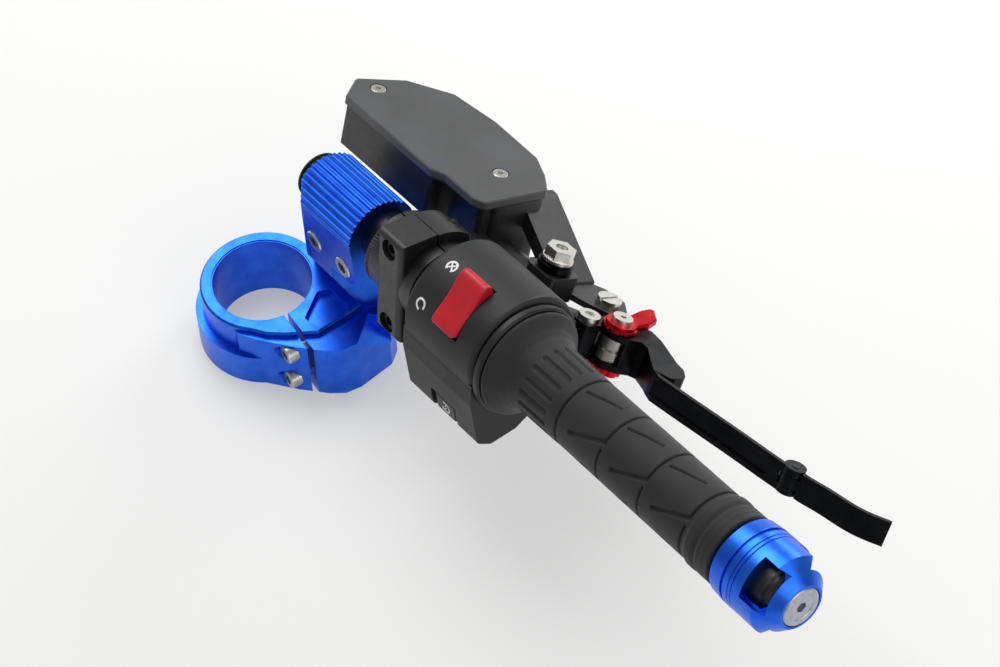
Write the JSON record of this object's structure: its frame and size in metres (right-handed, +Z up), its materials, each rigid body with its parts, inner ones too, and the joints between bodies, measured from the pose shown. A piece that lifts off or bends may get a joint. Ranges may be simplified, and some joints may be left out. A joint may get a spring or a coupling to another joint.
{
  "type": "clip-on handlebar",
  "caption": "Right clip-on handlebar: split fork clamp with riser, swept tube, twist grip, switch housing, front brake cylinder and folding lever, bar end weight.",
  "frame": {"origin": "on the fork clamp's bore axis at the clamp's top face", "axes": "+Z up the fork leg, +X outboard to the right of the motorcycle, +Y forward"},
  "size_m": [0.3193, 0.2575, 0.1428],
  "materials": {
    "blue_anodised": "satin",
    "bar_end_blue": "satin",
    "black_anodised": "satin",
    "black_casting": "satin",
    "cap_enamel": "satin",
    "screw_steel": "brushed",
    "bright_aluminium": "turned",
    "weight_steel": "satin",
    "expander_rubber": "matt",
    "grip_rubber": "matt",
    "sleeve_plastic": "matt",
    "housing_plastic": "fine grain",
    "rocker_red": "satin",
    "button_black": "satin",
    "adjuster_red": "anodised"
  },
  "bodies": {
    "handlebar": {"fork_clamp": "blue_anodised", "fork_pinch_bolts": "screw_steel", "bar_clamp_bolts": "screw_steel", "bar_tube": "black_anodised", "tube_plug": "expander_rubber", "bar_end_sleeve": "bar_end_blue", "bar_end_weight": "weight_steel", "bar_end_screw": "screw_steel", "bar_end_expander": "expander_rubber", "bar_end_nut": "screw_steel", "switch_housing_upper": "housing_plastic", "switch_housing_lower": "housing_plastic", "housing_screws": "screw_steel", "master_cylinder_body": "black_casting", "master_clamp": "black_casting", "master_clamp_bolts": "screw_steel", "reservoir_cap": "cap_enamel", "cap_screws": "screw_steel", "reservoir_diaphragm": "expander_rubber", "banjo_bolt": "screw_steel", "banjo_washers": "black_anodised", "pivot_bolt": "screw_steel", "pivot_nut": "screw_steel"},
    "throttle": {"throttle_sleeve": "sleeve_plastic", "grip": "grip_rubber"},
    "kill_switch": {"kill_switch_rocker": "rocker_red"},
    "start_button": {"start_button": "button_black"},
    "brake_lever": {"lever_carrier": "black_anodised"},
    "lever_blade": {"lever_blade": "black_anodised", "hinge_screw": "screw_steel", "tip_pin": "screw_steel"},
    "lever_tip": {"lever_tip": "black_anodised"},
    "adjuster": {"adjuster_barrel": "bright_aluminium", "adjuster_wheel": "adjuster_red", "adjuster_screw": "screw_steel", "adjuster_cap": "adjuster_red"},
    "piston": {"piston": "bright_aluminium", "push_rod": "screw_steel"}
  },
  "joints": [
    {"name": "throttle_twist", "type": "hinge", "parent": "handlebar", "child": "throttle", "pos_m": [0.18874, -0.10789, 0.07994], "axis": [0.7807, -0.61, 0.1357], "range_deg": [0, 65], "stiffness_Nm_per_rad": 0.4},
    {"name": "kill_switch_rock", "type": "hinge", "parent": "handlebar", "child": "kill_switch", "pos_m": [0.10956, -0.05935, 0.08828], "axis": [0.7807, -0.61, 0.1357], "range_deg": [-8, 0]},
    {"name": "start_button_press", "type": "slide", "parent": "handlebar", "child": "start_button", "axis": [0.6157, 0.788, 0], "range_m": [0, 0.0025], "stiffness_N_per_m": 400, "springref_m": -0.001},
    {"name": "brake_squeeze", "type": "hinge", "parent": "handlebar", "child": "brake_lever", "pos_m": [0.15365, -0.01493, 0.03574], "axis": [-0.2356, -0.4884, -0.8402], "range_deg": [0, 16], "stiffness_Nm_per_rad": 1, "springref_deg": -17.19},
    {"name": "piston_push", "type": "slide", "parent": "handlebar", "child": "piston", "axis": [-0.7807, 0.61, -0.1357], "range_m": [0, 0.0068]},
    {"name": "lever_reach", "type": "hinge", "parent": "brake_lever", "child": "lever_blade", "pos_m": [0.15003, -0.03277, 0.04713], "axis": [-0.2356, -0.4884, -0.8402], "range_deg": [-5, 0.6]},
    {"name": "reach_wheel_turn", "type": "hinge", "parent": "lever_blade", "child": "adjuster", "pos_m": [0.1624, -0.03134, 0.04283], "axis": [0.2356, 0.4884, 0.8402], "range_deg": [-150, 18]},
    {"name": "tip_fold", "type": "hinge", "parent": "lever_blade", "child": "lever_tip", "pos_m": [0.24677, -0.08381, 0.04968], "axis": [0.2356, 0.4884, 0.8402], "range_deg": [0, 90]}
  ],
  "couplings": [
    {"joint": "piston_push", "follows": "brake_squeeze", "m_per_rad": 0.024},
    {"joint": "reach_wheel_turn", "follows": "lever_reach", "ratio": 30}
  ]
}
